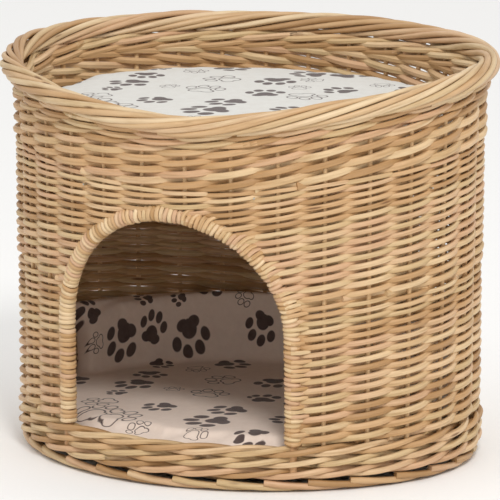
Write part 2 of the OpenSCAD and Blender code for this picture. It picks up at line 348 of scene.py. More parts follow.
@dataclass(frozen=True)
class WillowFinish:
    """Peeled willow: a smooth satin skin, straw to honey, with long streaks and small knots."""

    name: str
    tones: tuple[str, ...] = ("#A88155", "#BE976A", "#C8A479", "#C2A67A", "#D5B88F", "#C69F7A")
    tone_ends: tuple[float, float] = (0.04, 0.92)
    streak: str = "#96703F"
    streak_length_mm: float = 45.0
    streaks_round: float = 5.0
    streak_range: tuple[float, float] = (0.46, 0.74)
    streak_share: float = 0.55
    knot: str = "#6E4826"
    knot_spacing_mm: float = 95.0
    knot_range: tuple[float, float] = (0.10, 0.05)
    knot_share: float = 0.8
    blotch_mm: float = 90.0
    blotch_share: float = 0.55
    blotch_offset: float = -0.27
    rod_shift: float = 61.0         # each rod takes its streaks and knots from a place of its own
    roughness: tuple[float, float] = (0.38, 0.60)
    bump: tuple[float, float] = (0.35, 0.4)
    ior: float = 1.46

    def material(self) -> Material:
        """Builds the material. Its patterns follow each rod by the piece's own UV map."""
        material, tree, shader = blank_material(self.name)
        tone = add_node(tree, "ShaderNodeAttribute", attribute_name="rod_tone").outputs["Fac"]
        uv = add_node(tree, "ShaderNodeUVMap", uv_map="rod").outputs["UV"]
        flat = add_node(tree, "ShaderNodeSeparateXYZ", {"Vector": uv}).outputs
        shift = maths(tree, "MULTIPLY", tone, self.rod_shift)
        spot = add_node(tree, "ShaderNodeCombineXYZ",
                        {"X": flat["X"], "Y": flat["Y"], "Z": shift}).outputs[0]
        drawn_out = (1 / (self.streak_length_mm * MM), self.streaks_round, 1.0)
        streaks = noise_at(tree, vectors(tree, "MULTIPLY", spot, drawn_out), 1.0, 4.0, 0.62)
        blotches = noise_at(tree, object_place(tree), 1 / (self.blotch_mm * MM), 3.0)
        fleck = maths(tree, "MULTIPLY_ADD", blotches, self.blotch_share, self.blotch_offset)
        pick = maths(tree, "ADD", tone, fleck, clamp=True)
        first, reach = self.tone_ends
        body = ramp(tree, pick, [(first + reach * i / (len(self.tones) - 1), c)
                                 for i, c in enumerate(self.tones)])
        mask = spread(tree, streaks, *self.streak_range, 0.0, self.streak_share)
        streaked = mixed(tree, mask, body, self.streak)
        apart = (1 / (self.knot_spacing_mm * MM), 1.0, 1.7)
        knots = add_node(tree, "ShaderNodeTexVoronoi",
                         {"Vector": vectors(tree, "MULTIPLY", spot, apart), "Scale": 1.0,
                          "Randomness": 1.0}).outputs["Distance"]
        knot_mask = spread(tree, knots, *self.knot_range, 0.0, self.knot_share)
        tree.links.new(mixed(tree, knot_mask, streaked, self.knot), shader.inputs["Base Color"])
        gloss = spread(tree, streaks, 0.0, 1.0, *self.roughness)
        tree.links.new(gloss, shader.inputs["Roughness"])
        add_bump(tree, shader, streaks, *self.bump)
        shader.inputs["IOR"].default_value = self.ior
        return material


@dataclass(frozen=True)
class StickFinish:
    """Buff willow sticks: boiled in their bark, so redder and duller, with grain along them."""

    name: str
    light: str = "#D8AE80"
    dark: str = "#A87848"
    grain_mm: float = 6.0
    grain_range: tuple[float, float] = (0.3, 0.62)
    stretch: tuple[float, float, float] = (1.0, 1.0, 0.12)
    roughness: float = 0.55
    bump: tuple[float, float] = (0.3, 0.3)

    def material(self) -> Material:
        """Builds the material, with grain stretched along the stick."""
        material, tree, shader = blank_material(self.name)
        along = add_node(tree, "ShaderNodeMapping",
                         {"Vector": object_place(tree), "Scale": self.stretch}).outputs[0]
        grain = noise_at(tree, along, 1 / (self.grain_mm * MM), 5.0, 0.6)
        colour = ramp(tree, grain, list(zip(self.grain_range, (self.dark, self.light))))
        tree.links.new(colour, shader.inputs["Base Color"])
        add_bump(tree, shader, grain, *self.bump)
        shader.inputs["Roughness"].default_value = self.roughness
        return material


@dataclass(frozen=True)
class NailFinish:
    """Bright steel wire nails: drawn wire, with fine scratches that break up the shine."""

    name: str
    colour: str = "#B9B6AE"
    scratch_mm: float = 0.8
    roughness: tuple[float, float] = (0.22, 0.47)

    def material(self) -> Material:
        """Builds the material."""
        material, tree, shader = blank_material(self.name)
        scratch = noise_at(tree, object_place(tree), 1 / (self.scratch_mm * MM), 3.0)
        gloss = spread(tree, scratch, 0.0, 1.0, *self.roughness)
        tree.links.new(gloss, shader.inputs["Roughness"])
        shader.inputs["Base Color"].default_value = linear(self.colour)
        shader.inputs["Metallic"].default_value = 1.0
        return material


@dataclass(frozen=True)
class PawPrint:
    """One set of printed paws: one to a cell of the cloth, each turned and sized at random."""

    cell_mm: float
    offset: float
    smallest: float
    largest: float
    filled_share: float
    scatter: float = 0.62
    line: float = 0.03

    # Each pad of a paw: centre x, centre y, half width, half height, as shares of the paw's size.
    PADS = ((0.0, -0.24, 0.33, 0.36), (-0.24, -0.42, 0.27, 0.23), (0.24, -0.42, 0.27, 0.23),
            (-0.60, 0.14, 0.19, 0.26), (-0.24, 0.52, 0.19, 0.27), (0.24, 0.52, 0.19, 0.27),
            (0.60, 0.14, 0.19, 0.26))

    def cells(self, tree: NodeTree, uv: NodeSocket) -> tuple[NodeSocket, Node]:
        """Splits the cloth into cells.

        Args:
            tree: the material's node tree.
            uv: place on the cloth, in metres.

        Returns:
            The place counted in cells, and the texture that knows each cell.
        """
        per_metre = 1 / (self.cell_mm * MM)
        spot = vectors(tree, "MULTIPLY_ADD", uv, (per_metre, per_metre, 0.0),
                       (self.offset, self.offset * 0.7, 0.0))
        return spot, add_node(tree, "ShaderNodeTexVoronoi",
                              {"Vector": spot, "Scale": 1.0, "Randomness": self.scatter},
                              voronoi_dimensions="2D")

    def distance(self, tree: NodeTree, spot: NodeSocket) -> NodeSocket:
        """How far a spot is outside the nearest pad.

        Args:
            tree: the material's node tree.
            spot: place in the paw's own frame, where its size is 1.

        Returns:
            The distance, negative inside a pad.
        """
        nearest = None
        for x, y, half_w, half_h in self.PADS:
            scaled = vectors(tree, "MULTIPLY_ADD", spot, (1 / half_w, 1 / half_h, 0.0),
                             (-x / half_w, -y / half_h, 0))
            reach = add_node(tree, "ShaderNodeVectorMath", {0: scaled}, operation="LENGTH")
            size = math.sqrt(half_w * half_h)
            away = maths(tree, "MULTIPLY_ADD", reach.outputs["Value"], size, -size)
            nearest = away if nearest is None else maths(tree, "MINIMUM", nearest, away)
        return nearest

    def mask(self, tree: NodeTree, uv: NodeSocket) -> tuple[NodeSocket, NodeSocket]:
        """Prints the paws, some filled and some outlined.

        Args:
            tree: the material's node tree.
            uv: place on the cloth, in metres.

        Returns:
            The print's mask, and the middle of the cell that each spot is in, in metres.
        """
        spot, cells = self.cells(tree, uv)
        middle = cells.outputs["Position"]
        chance = add_node(tree, "ShaderNodeSeparateColor",
                          {"Color": cells.outputs["Color"]}).outputs
        turned = add_node(tree, "ShaderNodeVectorRotate",
                          {"Vector": vectors(tree, "SUBTRACT", spot, middle),
                           "Angle": maths(tree, "MULTIPLY", chance["Red"], math.tau)},
                          rotation_type="Z_AXIS")
        grown = spread(tree, chance["Green"], 0.0, 1.0, 1 / self.smallest, 1 / self.largest)
        sized = add_node(tree, "ShaderNodeVectorMath",
                         {0: turned.outputs[0], "Scale": grown}, operation="SCALE")
        away = self.distance(tree, sized.outputs[0])
        solid = spread(tree, away, 0.02, -0.02)
        outline = spread(tree, maths(tree, "ABSOLUTE", away), self.line + 0.02, self.line - 0.015)
        is_solid = maths(tree, "LESS_THAN", chance["Blue"], self.filled_share)
        mask = add_node(tree, "ShaderNodeMix", {"Factor": is_solid, "A": outline, "B": solid})
        cell, back = self.cell_mm * MM, -self.offset * self.cell_mm * MM
        return mask.outputs["Result"], vectors(tree, "MULTIPLY_ADD", middle, (cell, cell, 0.0),
                                               (back, back * 0.7, 0))


@dataclass(frozen=True)
class PrintedLinen:
    """Plain-woven linen, matt with a dry slubby thread, printed with paw marks in dark brown."""

    name: str
    cloth: str = "#D2D0CA"
    slub: str = "#BFBAB0"
    ink: str = "#3B2523"
    thread_mm: float = 0.9          # real thread is half this, and would not show
    large: PawPrint = PawPrint(70.0, 3.3, 0.34, 0.48, 0.78)
    small: PawPrint = PawPrint(43.0, 11.7, 0.30, 0.46, 0.34)
    clear: float = 0.56             # small paws stay this far from the middle of a large one
    ink_range: tuple[float, float] = (0.98, 0.88)
    slub_scale: float = 90.0
    bump: tuple[float, float] = (0.3, 0.25)
    roughness: float = 0.88
    sheen: float = 0.15

    def material(self) -> Material:
        """Builds the material. The print and the weave follow the cloth's own UV map."""
        material, tree, shader = blank_material(self.name)
        uv = add_node(tree, "ShaderNodeUVMap", uv_map="cloth").outputs["UV"]
        large, _ = self.large.mask(tree, uv)
        small, middle = self.small.mask(tree, uv)
        _, room = self.large.cells(tree, middle)
        clear = maths(tree, "GREATER_THAN", room.outputs["Distance"], self.clear)
        kept = maths(tree, "MULTIPLY", small, clear)
        printed = maths(tree, "MAXIMUM", large, kept, clamp=True)
        wave = 2 / (self.thread_mm * MM) / math.tau * 1.6
        threads = [add_node(tree, "ShaderNodeTexWave",
                            {"Vector": uv, "Scale": wave, "Distortion": 1.2, "Detail": 2.0,
                             "Detail Scale": 0.4}, bands_direction=direction).outputs["Fac"]
                   for direction in ("X", "Y")]
        slubs = noise_at(tree, uv, self.slub_scale, 4.0, 0.7)
        tint = spread(tree, slubs, 0.35, 0.75, 0.0, 0.4)
        cloth = mixed(tree, tint, linear(self.cloth), self.slub)
        worn = spread(tree, slubs, 0.2, 0.8, *self.ink_range)
        ink = maths(tree, "MULTIPLY", printed, worn)
        tree.links.new(mixed(tree, ink, cloth, self.ink), shader.inputs["Base Color"])
        add_bump(tree, shader, maths(tree, "MULTIPLY", *threads), *self.bump)
        shader.inputs["Roughness"].default_value = self.roughness
        shader.inputs["Sheen Weight"].default_value = self.sheen
        return material


WILLOW = WillowFinish("peeled_willow_rods")
BORDER_WILLOW = WillowFinish("peeled_willow_border", tones=(
    "#A9835A", "#BC976C", "#C6A47B", "#C6AB82", "#D6BD98", "#C6A17C"))
SKEIN = WillowFinish("willow_skein_wrapping", tones=(
    "#B28B5C", "#C6A074", "#CEAD82", "#CBAF84", "#DCC19A", "#C8A280"))
NAILS = NailFinish("bright_wire_nails")
LINEN = PrintedLinen("printed_linen")
# The lower cushion's cover is the same linen as the upper one. Its warmer, pinker cloth and slub
# colours are painted warm bounce light from inside the basket.
LINEN_PAINTED_WARM_BOUNCE = PrintedLinen("printed_linen_painted_warm_bounce", cloth="#EDDACB", slub="#D8C2B0")
_made: dict[str, Material] = {}


def finish_of(finish: WillowFinish | StickFinish | NailFinish | PrintedLinen) -> Material:
    """The material of a finish, built the first time it is asked for."""
    if finish.name not in _made:
        _made[finish.name] = finish.material()
    return _made[finish.name]


# ---- rods


@dataclass
class RodBundle:
    """Many bent rods that become one piece. Rods are swept in mesh code, ring by ring, because no
    edit-mode tool bends a rod in and out of thirty stakes and keeps the lay of its grain."""

    sides: int = 7
    seed: int = SEED
    verts: list[np.ndarray] = field(default_factory=list)
    quads: list[np.ndarray] = field(default_factory=list)
    caps: list[np.ndarray] = field(default_factory=list)
    quad_uv: list[np.ndarray] = field(default_factory=list)
    cap_uv: list[np.ndarray] = field(default_factory=list)
    tones: list[np.ndarray] = field(default_factory=list)
    count: int = 0

    def __post_init__(self) -> None:
        """Seeds the bundle's own random numbers."""
        self.rng = np.random.default_rng(self.seed)

    def add(self, path: np.ndarray, radius: np.ndarray | float, closed: bool = False,
            up: tuple[float, float, float] = (0.0, 0.0, 1.0), tone: float | None = None) -> None:
        """Lays one rod along a path.

        Args:
            path: the rod's middle line, one point a row.
            radius: the rod's radius, one number or one a point.
            closed: whether the rod is a closed ring.
            up: direction that the rod's seam faces away from.
            tone: the rod's own colour, from 0 to 1, or None for a random one.
        """
        n, k = len(path), self.sides
        if n < 3:
            return
        r = np.broadcast_to(np.asarray(radius, float), (n,))
        ahead = np.roll(path, -1, axis=0) - np.roll(path, 1, axis=0)
        if not closed:
            ahead[0], ahead[-1] = path[1] - path[0], path[-1] - path[-2]
        ahead /= np.linalg.norm(ahead, axis=1, keepdims=True) + 1e-12
        side = np.cross(ahead, np.array(up, float))
        side /= np.linalg.norm(side, axis=1, keepdims=True) + 1e-12
        top = np.cross(side, ahead)
        a = -math.pi / 2 + np.arange(k) * math.tau / k
        ring = (np.cos(a)[None, :, None] * side[:, None, :]
                + np.sin(a)[None, :, None] * top[:, None, :])
        verts = path[:, None, :] + ring * r[:, None, None]
        run = np.concatenate([[0], np.cumsum(np.linalg.norm(np.diff(path, axis=0), axis=1))]) * MM
        segments = n if closed else n - 1
        i = np.arange(segments)[:, None]
        j = np.arange(k)[None, :]
        i1, j1 = (i + 1) % n, (j + 1) % k
        quads = np.stack([i * k + j, i * k + j1, i1 * k + j1, i1 * k + j], axis=-1).reshape(-1, 4)
        last = run[-1] + np.linalg.norm(path[0] - path[-1]) * MM
        u0, u1, v0 = np.broadcast_arrays(run[:segments, None],
                                         np.append(run[1:], last)[:segments, None], j / k)
        v1 = v0 + 1 / k
        uv = np.stack([np.stack(c, -1) for c in ((u0, v0), (u0, v1), (u1, v1), (u1, v0))],
                      axis=2).reshape(-1, 2)
        self.verts.append(verts.reshape(-1, 3))
        self.quads.append(quads + self.count)
        self.quad_uv.append(uv)
        if not closed:
            ends = np.array([np.arange(k)[::-1], (n - 1) * k + np.arange(k)]) + self.count
            self.caps.append(ends)
            self.cap_uv.append(np.repeat([[0.0, 0.5], [run[-1], 0.5]], k, axis=0))
        shade = self.rng.random() if tone is None else tone
        self.tones.append(np.full(n * k, shade))
        self.count += n * k

    def piece(self, name: str, finish: WillowFinish) -> Object:
        """Makes the piece.

        Args:
            name: the piece's name.
            finish: what it is made of.

        Returns:
            The new object, at the origin.
        """
        verts = np.concatenate(self.verts) * MM
        faces = np.concatenate(self.quads).tolist()
        uv = [np.concatenate(self.quad_uv)]
        if self.caps:
            faces += np.concatenate(self.caps).tolist()
            uv.append(np.concatenate(self.cap_uv))
        mesh = bpy.data.meshes.new(name)
        mesh.from_pydata(verts.tolist(), [], faces)
        layer = mesh.uv_layers.new(name="rod")
        layer.data.foreach_set("uv", np.concatenate(uv).astype(np.float32).ravel())
        tone = mesh.attributes.new("rod_tone", "FLOAT", "POINT")
        tone.data.foreach_set("value", np.concatenate(self.tones).astype(np.float32))
        mesh.materials.append(finish_of(finish))
        piece = bpy.data.objects.new(name, mesh)
        bpy.context.scene.collection.objects.link(piece)
        select_only(piece)
        bpy.ops.object.shade_smooth_by_angle(angle=SMOOTH_ANGLE)
        return piece


def select_only(piece: Object) -> None:
    """Selects one object and makes it active, with everything else deselected."""
    bpy.ops.object.select_all(action="DESELECT")
    piece.select_set(True)
    bpy.context.view_layer.objects.active = piece


def settle_in(piece: Object, body: Body, slot: Slot, *replaced: str) -> None:
    """Puts a piece into the bed.

    Args:
        piece: the piece.
        body: what it rides on.
        slot: the finish that it takes; not used.
        replaced: frame nodes that it stands for.
    """
    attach(piece, body.value)
    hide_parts(*replaced)
    LOG.info("%s: %d faces, rides %s", piece.name, len(piece.data.polygons), body.value)


def ripple(rng: np.random.Generator, t: np.ndarray, size: float, waves: int = 3) -> np.ndarray:
    """A gentle random wander along a rod.

    Args:
        rng: the source of random numbers.
        t: places along the rod, in bays.
        size: the wander's size.
        waves: how many waves are summed.

    Returns:
        How far the rod wanders at each place.
    """
    total = np.zeros_like(t)
    for _ in range(waves):
        total += np.sin(t * rng.uniform(0.35, 1.3) + rng.uniform(0, math.tau))
    return total * size / waves


@dataclass
class BasketWork:
    """A piece of the basket that is made of rods and stands for one frame node."""

    name: str
    replaced: str

    def set_in(self, bundle: RodBundle, finish: WillowFinish = WILLOW,
               slot: Slot = Slot.WILLOW) -> Object:
        """Makes the piece from its rods and puts it into the basket."""
        piece = bundle.piece(self.name, finish)
        settle_in(piece, Body.BASKET, slot, self.replaced)
        return piece


# ---- the wall


@dataclass
class RandingBand(BasketWork):
    """A band of French randing: one rod to each stake, butts at the bottom, all woven up together,
    each passing in front of one stake and behind the next."""

    bottom: float
    top: float
    courses: int
    butt_d: float
    tip_d: float
    seed: int
    squeeze: tuple[float, float] = (0.80, 0.90)
    inner_swell: float = 0.20       # rods are pressed flat and wide against the stakes inside
    inner_reach: float = 0.74
    flatten: float = 0.18           # rods run straighter past a stake than a cosine does
    wander: float = 0.55
    samples: int = 8

    def height(self, t: np.ndarray) -> np.ndarray:
        """Height of a rod: courses are thick at the bottom and thin at the top, and a rod's first
        and last bays lie level, so that the band's edges close.

        Args:
            t: bays since the rod's start.

        Returns:
            The heights.
        """
        n = self.courses
        t = np.clip(t, 0, n - 1)
        step = np.linspace(self.butt_d, self.tip_d, n)
        edges = np.concatenate([[0], np.cumsum(step)]) / step.sum()
        return self.bottom + (self.top - self.bottom) * np.interp(t + 0.5, np.arange(n + 1), edges)

    def rod(self, start: int, rng: np.random.Generator) -> tuple[np.ndarray, np.ndarray]:
        """One rod's middle line and radius.

        Args:
            start: number of the stake that it begins behind.
            rng: the source of random numbers.

        Returns:
            The points and the radii.
        """
        first = -int(rng.integers(2, 6))
        t = np.arange(first, (self.courses - 0.5) * self.samples + 1) / self.samples
        d = np.interp(t, [0, self.courses - 1], [self.butt_d, self.tip_d]) * rng.uniform(0.94, 1.08)
        share = (start + t + 0.5) / PLAN.stake_count
        swing = -np.cos(math.pi * t)
        swing = (1 + self.flatten) * swing - self.flatten * swing ** 3
        d = d * (1 + self.inner_swell * (1 - swing) / 2)
        reach = (PLAN.stake_d + d) / 2 * rng.uniform(*self.squeeze)
        z = self.height(t) + ripple(rng, t, self.wander)
        off = PLAN.mid_at(z) + np.where(swing > 0, swing, self.inner_reach * swing) * reach
        return PLAN.settle(PLAN.points(share, off, z)), d / 2

    def build(self) -> Object:
        """Weaves the band, with its rods ending at the doorway's edge."""
        bundle = RodBundle(seed=self.seed)
        rng = bundle.rng
        for start in range(PLAN.stake_count):
            path, radius = self.rod(start, rng)
            tone = rng.random()
            for run in outside_door(path, PLAN.hoop_r - ROD_END_IN):
                cut = path_between(path, run)
                cut_r = np.interp(np.linspace(*run, len(cut)), np.arange(len(radius)), radius)
                bundle.add(cut, cut_r, tone=tone)
        return self.set_in(bundle)


def outside_door(path: np.ndarray, radius: float) -> list[tuple[float, float]]:
    """The stretches of a path that are outside the doorway.

    Args:
        path: a rod's middle line.
        radius: radius of the arch that it ends at.

    Returns:
        First and last position along the path of each stretch.
    """
    depth = PLAN.in_doorway(path, radius)
    far = np.abs(depth)
    cuts = [i + far[i] / (far[i] + far[i + 1])
            for i in np.flatnonzero((depth[:-1] < 0) != (depth[1:] < 0))]
    cuts = [0.0] * bool(depth[0] < 0) + cuts + [len(depth) - 1.0] * bool(depth[-1] < 0)
    return [run for run in zip(cuts[::2], cuts[1::2]) if run[1] - run[0] > SHORTEST_RUN]


def path_between(path: np.ndarray, run: tuple[float, float]) -> np.ndarray:
    """Cuts a stretch out of a path.

    Args:
        path: a rod's middle line.
        run: first and last position along it.

    Returns:
        The stretch's points, with both ends exact.
    """
    inner = np.arange(math.floor(run[0]) + 1, math.ceil(run[1]))
    at = np.concatenate([[run[0]], inner, [run[1]]])
    index = np.arange(len(path))
    return np.stack([np.interp(at, index, path[:, k]) for k in range(3)], axis=-1)


@dataclass
class Wale(BasketWork):
    """Rounds of three-rod wale: each rod passes in front of two stakes and behind one."""

    bottom: float
    rounds: int
    step: float
    rod_d: float
    seed: int
    rise: float = 0.29              # a rod climbs over the others by this share of the step
    squeeze: float = 1.55
    out: float = 0.12               # the wale stands out more than in
    samples: int = 7

    def build(self) -> Object:
        """Lays three rods a round, each a third of the way behind the next."""
        bundle = RodBundle(seed=self.seed)
        rng = bundle.rng
        t = np.arange(PLAN.stake_count * self.samples) / self.samples
        share = (t + 0.5) / PLAN.stake_count
        for turn in range(self.rounds):
            for rod in range(3):
                phase = (t - rod - turn - 0.5) * math.tau / 3
                swell = 1 + ripple(rng, t * 0.9, 0.09)
                d = self.rod_d * swell * rng.uniform(0.95, 1.05)
                reach = (PLAN.stake_d + d) / self.squeeze
                z = (self.bottom + self.step * (turn + 0.5) + self.rise * self.step * np.sin(phase)
                     + ripple(rng, t, 0.3))
                off = PLAN.mid_at(z) + reach * (np.cos(phase) + self.out) * 0.92
                path = PLAN.settle(PLAN.points(share, off, z))
                for cut in self.rods_of(rng, len(t)):
                    bundle.add(path[cut % len(t)], (d / 2)[cut % len(t)])
        return self.set_in(bundle)

    def rods_of(self, rng: np.random.Generator, n: int) -> list[np.ndarray]:
        """Cuts a round into two rods that lap each other.

        Args:
            rng: the source of random numbers.
            n: how many points the round has.

        Returns:
            The numbers of each rod's points, which may run past n.
        """
        first = int(rng.integers(0, n))
        half, lap = n // 2, self.samples // 2
        return [np.arange(first, first + half + lap), np.arange(first + half, first + n + lap)]


@dataclass
class RolledBorder(BasketWork):
    """The border on top: rods laid round a core in a long low twist, one starting after another."""

    name: str = "rolled_border"
    replaced: str = "top_border"
    rods: int = 36
    length_bays: float = 6.4
    rod_d: float = 6.4
    core_d: float = 10.5
    start_angle: float = -95.0
    turn_angle: float = 345.0
    samples: int = 5

    def build(self) -> Object:
        """Lays the core and then each rod round it."""
        bundle = RodBundle(sides=8, seed=SEED + 40)
        rng = bundle.rng
        ring = PLAN.border_radius - self.rod_d / 2
        n = PLAN.stake_count * self.samples
        share = np.arange(n) / n
        level = np.full(n, PLAN.border_z)
        core = PLAN.settle(PLAN.points(share, np.full(n, PLAN.border_out), level))
        bundle.add(core, self.core_d / 2, closed=True, tone=0.0)
        for rod in range(self.rods):
            t = np.arange(0, self.length_bays + 1e-6, 1 / self.samples)
            part = t / self.length_bays
            angle = np.radians(self.start_angle + self.turn_angle * part + rng.uniform(-9, 9))
            taper = np.interp(part, [0, 0.8, 1], [1.04, 0.95, 0.7])
            d = self.rod_d * taper * rng.uniform(0.93, 1.07)
            rise = ring + ripple(rng, t, 0.9) + rng.uniform(-0.9, 0.6)
            at = (rod * PLAN.stake_count / self.rods + t) / PLAN.stake_count
            off = PLAN.border_out + rise * np.cos(angle)
            z = PLAN.border_z + rise * np.sin(angle)
            bundle.add(PLAN.settle(PLAN.points(at, off, z)), d / 2)
        return self.set_in(bundle, BORDER_WILLOW, Slot.BORDER)


@dataclass
class FootBorder(BasketWork):
    """The border that the bed stands on: each rod starts blunt under the wale, slopes down past the
    next stake and tucks in under the rod after it."""

    name: str = "foot_border_rods"
    replaced: str = "foot_border"
    rod_d: float = 7.6
    length_bays: float = 2.6
    samples: int = 7

    def build(self) -> Object:
        """Lays one rod to a stake."""
        bundle = RodBundle(sides=8, seed=SEED + 50)
        rng = bundle.rng
        t = np.arange(0, self.length_bays + 1e-6, 1 / self.samples)
        for stake in range(PLAN.stake_count):
            taper = np.interp(t, [0, self.length_bays], [1.0, 0.82])
            d = self.rod_d * rng.uniform(0.94, 1.06) * taper
            low = d / 2 + 0.1
            z = np.interp(t, [0, 0.9, 1.5, self.length_bays], [9.6, 5.6, 4.0, 4.0])
            off = np.interp(t, [0, 0.35, 1.1, 1.9, self.length_bays],
                            [-10.5, -9.6, -11.5, -17, -19.5])
            at = (stake + 0.15 + t + rng.uniform(-0.06, 0.06)) / PLAN.stake_count
            bundle.add(PLAN.points(at, off, np.maximum(z, low)), d / 2)
        return self.set_in(bundle)


# ---- the doorway


@dataclass
class DoorwayBinding(BasketWork):
    """Split willow wound round the hoop, turn beside turn. On the right the turns run out into the
    weaving beside them."""

    name: str = "doorway_wrapping"
    replaced: str = "door_binding"
    strand_d: float = 5.0
    pitch: float = 4.7
    tail: float = 17.0
    tails_from: float = 20.0
    tail_share: float = 0.75

    def hoop_line(self, steps: int = 400) -> np.ndarray:
        """The middle of the bound edge, from the left foot to the right.

        Args:
            steps: how many points to give.

        Returns:
            One point a row.
        """
        leg = PLAN.spring_z - PLAN.sill_z
        total = 2 * leg + math.pi * PLAN.hoop_r
        points = []
        for s in np.linspace(0, total, steps):
            if s < leg:
                x, z = -PLAN.hoop_r, PLAN.sill_z + s
            elif s > total - leg:
                x, z = PLAN.hoop_r, PLAN.sill_z + total - s
            else:
                a = math.pi - (s - leg) / PLAN.hoop_r
                x, z = PLAN.hoop_r * math.cos(a), PLAN.spring_z + PLAN.hoop_r * math.sin(a)
            points.append([x, -PLAN.half_depth(x, PLAN.mid_at(z)), z])
        return np.array(points)

    def build(self) -> Object:
        """Winds the turns one after another along the hoop."""
        bundle = RodBundle(seed=SEED + 60)
        rng = bundle.rng
        line = self.hoop_line()
        run = np.concatenate([[0], np.cumsum(np.linalg.norm(np.diff(line, axis=0), axis=1))])
        ring_r = PLAN.binding_r - self.strand_d / 2
        for s in np.arange(self.pitch / 2, run[-1], self.pitch):
            middle, after, before = (np.array([np.interp(at, run, line[:, k]) for k in range(3)])
                                     for at in (s, s + 3, s - 3))
            ahead = after - before
            ahead /= np.linalg.norm(ahead)
            outward = middle - np.array([0, 3 * PLAN.unit, 0])
            outward[2] = 0
            outward -= outward.dot(ahead) * ahead
            outward /= np.linalg.norm(outward)
            away = np.cross(outward, ahead)
            centre = np.array([0.0, middle[1], min(middle[2], PLAN.spring_z)])
            if away.dot(middle - centre) < 0:
                away = -away
            lean = ahead * (rng.uniform(-0.16, 0.16) + 0.12)
            r = ring_r + rng.uniform(-0.5, 0.35)
            a = np.linspace(0, math.tau, 15)[:-1]
            ring = middle + r * (np.cos(a)[:, None] * (away + lean) + np.sin(a)[:, None] * outward)
            bundle.add(ring, self.strand_d / 2 * rng.uniform(0.93, 1.05), closed=True,
                       up=tuple(ahead))
            if middle[0] > self.tails_from and rng.random() < self.tail_share:
                self.add_tail(bundle, middle, away, outward, r)
        return self.set_in(bundle, SKEIN, Slot.SKEIN)

    def add_tail(self, bundle: RodBundle, middle: np.ndarray, away: np.ndarray,
                 outward: np.ndarray, r: float) -> None:
        """Runs the outer part of a turn on into the weaving, bending level as it goes.

        Args:
            bundle: the rods so far.
            middle: the middle of the turn.
            away: direction away from the doorway, along the wall.
            outward: direction out of the wall.
            r: the turn's radius.
        """
        length = self.tail * bundle.rng.uniform(0.5, 1.25)
        s = np.linspace(0, 1, 7)
        level = np.array([1.0, 0.12, 0.0])
        level -= level.dot(outward) * outward
        level /= np.linalg.norm(level)
        heading = away[None] * (1 - s)[:, None] + level[None] * s[:, None]
        heading /= np.linalg.norm(heading, axis=1, keepdims=True)
        steps = np.concatenate([np.zeros((1, 3)), np.cumsum(heading[:-1] * length / 6, axis=0)])
        lift = (r + 0.3) * np.interp(s, [0, 0.45, 1], [0.98, 0.98, 0.25])
        path = middle + away * -2.0 + steps + outward[None] * lift[:, None]
        bundle.add(path, self.strand_d / 2 * np.interp(s, [0, 1], [0.95, 0.8]),
                   up=tuple(np.cross(outward, away)))


# ---- floor and deck


@dataclass
class WovenMat(BasketWork):
    """A woven floor: rods carried round the sticks in rings, over one stick and under the next."""

    node_z: tuple[float, float]
    edge: float
    seed: int
    rod_d: float = 4.8
    ring_step: float = 4.7
    crossings: int = 26
    core: float = 14.0              # rings stop this far from an end arc's centre, then shrink

    def build(self) -> Object:
        """Weaves the rings from the edge to the middle."""
        bundle = RodBundle(sides=6, seed=self.seed)
        low, high = self.node_z
        middle = (low + high) / 2
        reach = (high - low - self.rod_d) / 2
        rings = int((PLAN.end_r - self.core + self.edge) // self.ring_step)
        for ring in range(rings):
            off = self.edge - self.rod_d / 2 - ring * self.ring_step
            self.add_ring(bundle, off, 1.0, ring, middle, reach)
        last = self.edge - self.rod_d / 2 - (rings - 1) * self.ring_step
        depth = PLAN.half_depth(0, last)
        for k in range(1, int(depth // self.ring_step)):
            self.add_ring(bundle, last, 1 - k * self.ring_step / depth, rings + k, middle, reach)
        return self.set_in(bundle)

    def add_ring(self, bundle: RodBundle, off: float, scale: float, number: int, middle: float,
                 reach: float) -> None:
        """Lays one ring of the mat.

        Args:
            bundle: the rods so far.
            off: distance outwards from the wall's outer line.
            scale: the ring's depth as a share of the oval's at that line.
            number: the ring's number, which sets the sticks that it passes over.
            middle: height of the mat's middle.
            reach: how far the rod rises and falls.
        """
        rng = bundle.rng
        size = max(0.2, (PLAN.end_r + off) / PLAN.end_r) * scale
        n = max(52, int(200 * size))
        t = np.arange(n) / n
        wave = np.cos(t * math.tau * self.crossings / 2 + math.pi * number)
        points = PLAN.points(t, np.full(n, off), middle + wave * reach + ripple(rng, t * 9, 0.2))
        points[:, :2] *= [1 - (1 - scale) * 0.45, scale]
        bundle.add(points, self.rod_d / 2 * rng.uniform(0.92, 1.06), closed=True)


# ---- cushions


def outer_shell(node: str, name: str) -> Object:
    """A copy of a frame node's outer skin, merged, without the walls inside it.

    Args:
        node: the frame node.
        name: the copy's name.

    Returns:
        The new object.
    """
    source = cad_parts[node]
    piece = source.copy()
    piece.data = source.data.copy()
    piece.name = name
    for key in list(piece.keys()):
        del piece[key]
    piece.parent = None
    bpy.context.scene.collection.objects.link(piece)
    select_only(piece)
    bpy.ops.object.mode_set(mode="EDIT")
    bpy.ops.mesh.select_all(action="SELECT")
    bpy.ops.mesh.remove_doubles(threshold=0.00002)
    bpy.ops.mesh.separate(type="LOOSE")
    bpy.ops.object.mode_set(mode="OBJECT")
    shell, *extras = sorted(bpy.context.selected_objects, key=lambda o: -max(o.dimensions))
    for extra in extras:
        bpy.data.objects.remove(extra)
    shell.name = name
    shell.data.materials.clear()
    return shell


def apply_modifier(piece: Object, kind: str, **settings: object) -> None:
    """Adds a modifier and applies it at once.

    Args:
        piece: the object.
        kind: the modifier's type.
        settings: properties of the modifier.
    """
    modifier = piece.modifiers.new(kind.title(), kind)
    for name, value in settings.items():
        setattr(modifier, name, value)
    select_only(piece)
    bpy.ops.object.modifier_apply(modifier=modifier.name)


